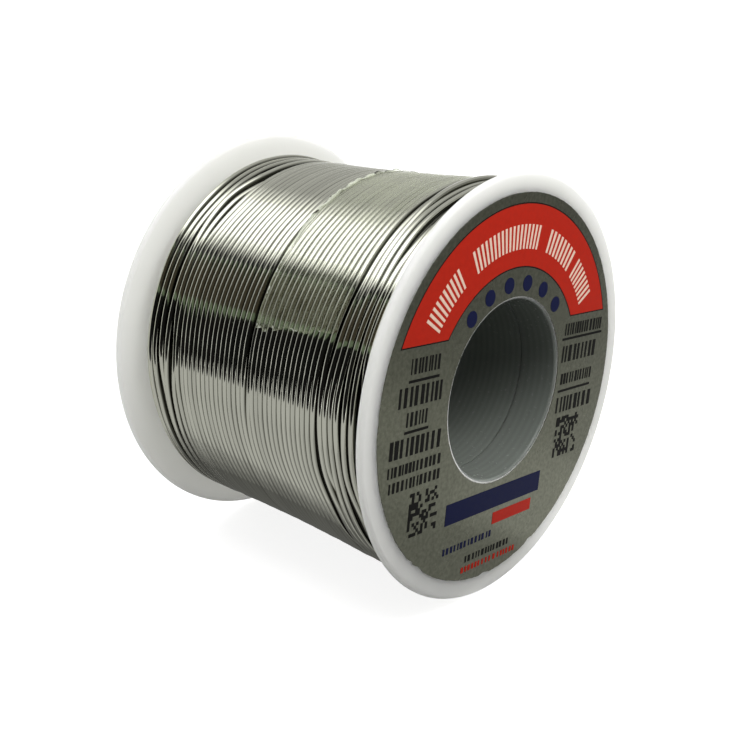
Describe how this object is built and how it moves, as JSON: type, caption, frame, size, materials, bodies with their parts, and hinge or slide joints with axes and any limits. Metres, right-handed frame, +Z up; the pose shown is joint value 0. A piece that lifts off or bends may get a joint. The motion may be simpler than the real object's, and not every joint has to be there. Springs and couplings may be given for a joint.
{
  "type": "solder wire spool",
  "caption": "Flanged plastic spool wound full of bright fine solder wire, with a clear tape strip, a round end label and a smooth through bore.",
  "frame": {"origin": "middle of the bore, halfway between the two outer faces", "axes": "+Y along the bore from the labelled face to the plain face; +Z up with the spool lying on its rims; +X across"},
  "size_m": [0.051, 0.0401, 0.051],
  "materials": {
    "spool_plastic": "satin natural white moulded plastic, slightly translucent",
    "solder_wire": "bright drawn tin-lead wire, nearly mirror smooth",
    "clear_tape": "clear glossy adhesive film",
    "label_film": "satin silver-grey label stock with printed blocks and bars"
  },
  "bodies": {
    "root": {"front_flange": "spool_plastic", "rear_flange": "spool_plastic", "core_tube": "spool_plastic", "inner_layers": "solder_wire", "outer_layer": "solder_wire", "closing_tape": "clear_tape", "front_label": "label_film"}
  },
  "joints": []
}
